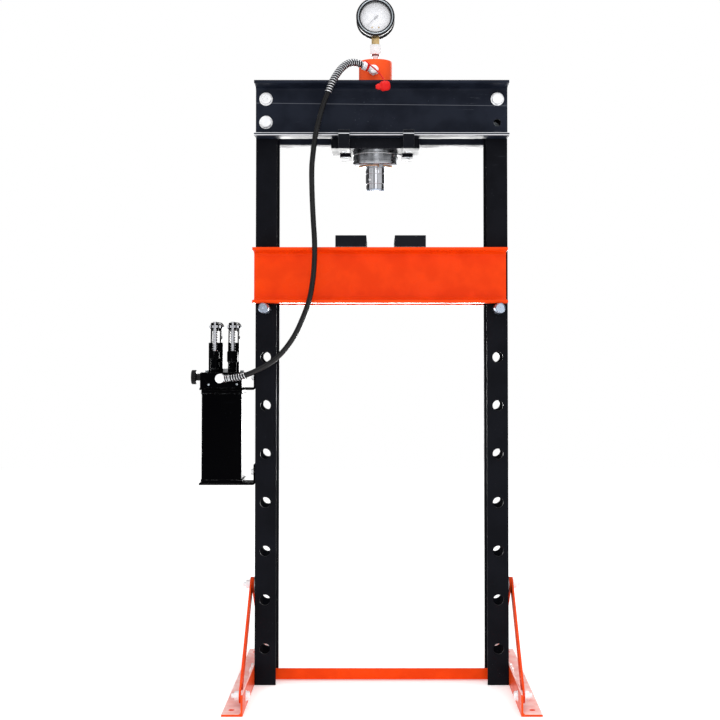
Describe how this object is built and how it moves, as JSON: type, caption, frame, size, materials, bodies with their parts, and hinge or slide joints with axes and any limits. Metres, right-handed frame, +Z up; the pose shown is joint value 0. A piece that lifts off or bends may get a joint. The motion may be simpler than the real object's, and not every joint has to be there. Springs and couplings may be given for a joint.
{
  "type": "hydraulic shop press",
  "caption": "Free-standing H-frame hydraulic shop press with a height-adjustable bed on cross pins, a sliding cylinder under the head, a pressure gauge and a side-mounted hand pump.",
  "frame": {"origin": "floor level, at the centre of the rectangle of floor anchor holes, midway between the uprights", "axes": "+X across the frame towards the right upright, +Y towards the back, +Z up"},
  "size_m": [0.863, 0.68, 1.76],
  "materials": {
    "black_paint": "semi-gloss black enamel",
    "orange_paint": "gloss orange enamel",
    "zinc_plate": "bright zinc plating",
    "bright_steel": "ground and hard-chromed steel",
    "brass": "machined brass",
    "black_plastic": "moulded black plastic",
    "red_plastic": "soft red plastic",
    "hose_rubber": "black hydraulic hose cover",
    "dial_white": "white printed dial plate, left blank",
    "clear_glass": "clear gauge window"
  },
  "bodies": {
    "frame": {"upright_left": "black_paint", "upright_right": "black_paint", "head_front": "black_paint", "head_rear": "black_paint", "head_bolts": "zinc_plate", "head_nuts": "zinc_plate", "foot_left": "orange_paint", "foot_right": "orange_paint", "brace_front_left": "orange_paint", "brace_rear_left": "orange_paint", "brace_front_right": "orange_paint", "brace_rear_right": "orange_paint", "foot_bolts": "zinc_plate", "brace_bolts": "zinc_plate", "tie_bar": "orange_paint", "hose": "hose_rubber", "hose_guard_bottom": "bright_steel", "pump_elbow": "zinc_plate", "pump_reservoir": "black_paint", "pump_manifold": "black_paint", "pump_brackets": "black_paint", "pump_bolts": "zinc_plate", "filler_plug": "zinc_plate", "pump_barrel_left": "black_paint", "pump_barrel_right": "black_paint", "fulcrum_left": "black_paint", "fulcrum_right": "black_paint", "pump_spring_left": "bright_steel", "pump_spring_right": "bright_steel"},
    "bed": {"bed_front": "orange_paint", "bed_rear": "orange_paint", "bed_spacers": "orange_paint"},
    "pin_left": {"bed_pin_left": "bright_steel"},
    "pin_right": {"bed_pin_right": "bright_steel"},
    "block_left": {"block_left": "black_paint"},
    "block_right": {"block_right": "black_paint"},
    "carriage": {"carriage_plate": "black_paint", "carriage_clamps": "black_paint", "clamp_screws": "zinc_plate", "cylinder_body": "orange_paint", "cylinder_collar": "bright_steel", "snap_ring": "bright_steel", "return_spring": "bright_steel", "gauge_adapter": "zinc_plate", "gauge_socket": "brass", "gauge_case": "black_paint", "gauge_dial": "dial_white", "gauge_glass": "clear_glass", "port_coupler": "zinc_plate", "dust_cap": "red_plastic", "hose_guard_top": "bright_steel"},
    "ram": {"ram_rod": "bright_steel", "ram_nose": "bright_steel", "ram_piston": "bright_steel"},
    "pointer": {"gauge_pointer": "black_plastic"},
    "release_valve": {"release_knob": "black_plastic"},
    "rocker_left": {"rocker_left": "black_paint"},
    "rocker_right": {"rocker_right": "black_paint"},
    "plunger_left": {"plunger_left": "bright_steel"},
    "plunger_right": {"plunger_right": "bright_steel"}
  },
  "joints": [
    {"name": "bed_lift", "type": "slide", "parent": "frame", "child": "bed", "axis": [0, 0, 1], "range_m": [0, 0.02]},
    {"name": "pin_left_pull", "type": "slide", "parent": "frame", "child": "pin_left", "axis": [0, -1, 0], "range_m": [0, 0.24]},
    {"name": "pin_right_pull", "type": "slide", "parent": "frame", "child": "pin_right", "axis": [0, -1, 0], "range_m": [0, 0.24]},
    {"name": "block_left_slide", "type": "slide", "parent": "bed", "child": "block_left", "axis": [1, 0, 0], "range_m": [-0.12, 0.03]},
    {"name": "block_right_slide", "type": "slide", "parent": "bed", "child": "block_right", "axis": [1, 0, 0], "range_m": [-0.03, 0.12]},
    {"name": "carriage_slide", "type": "slide", "parent": "frame", "child": "carriage", "axis": [1, 0, 0], "range_m": [-0.05, 0.08], "deforming": ["hose"]},
    {"name": "ram_slide", "type": "slide", "parent": "carriage", "child": "ram", "axis": [0, 0, -1], "range_m": [0, 0.1], "stiffness_N_per_m": 900, "springref_m": -0.12, "deforming": ["return_spring"]},
    {"name": "pointer_turn", "type": "hinge", "parent": "carriage", "child": "pointer", "pos_m": [-0.016, -0.0155, 1.71], "axis": [0, 1, 0], "range_deg": [0, 270], "stiffness_Nm_per_rad": 0.0004, "springref_deg": -28.65},
    {"name": "release_turn", "type": "hinge", "parent": "frame", "child": "release_valve", "pos_m": [-0.478, 0, 0.777], "axis": [1, 0, 0], "range_deg": [0, 360]},
    {"name": "rocker_left_swing", "type": "hinge", "parent": "frame", "child": "rocker_left", "pos_m": [-0.43, 0.02, 0.907], "axis": [1, 0, 0], "range_deg": [0, 20], "stiffness_Nm_per_rad": 0.9, "springref_deg": -20.05},
    {"name": "plunger_left_slide", "type": "slide", "parent": "frame", "child": "plunger_left", "axis": [0, 0, -1], "range_m": [0, 0.0108], "deforming": ["pump_spring_left"]},
    {"name": "rocker_right_swing", "type": "hinge", "parent": "frame", "child": "rocker_right", "pos_m": [-0.384, 0.02, 0.907], "axis": [1, 0, 0], "range_deg": [0, 20], "stiffness_Nm_per_rad": 0.9, "springref_deg": -20.05},
    {"name": "plunger_right_slide", "type": "slide", "parent": "frame", "child": "plunger_right", "axis": [0, 0, -1], "range_m": [0, 0.0108], "deforming": ["pump_spring_right"]}
  ],
  "couplings": [
    {"joint": "plunger_left_slide", "follows": "rocker_left_swing", "m_per_rad": 0.0306},
    {"joint": "plunger_right_slide", "follows": "rocker_right_swing", "m_per_rad": 0.0306}
  ]
}
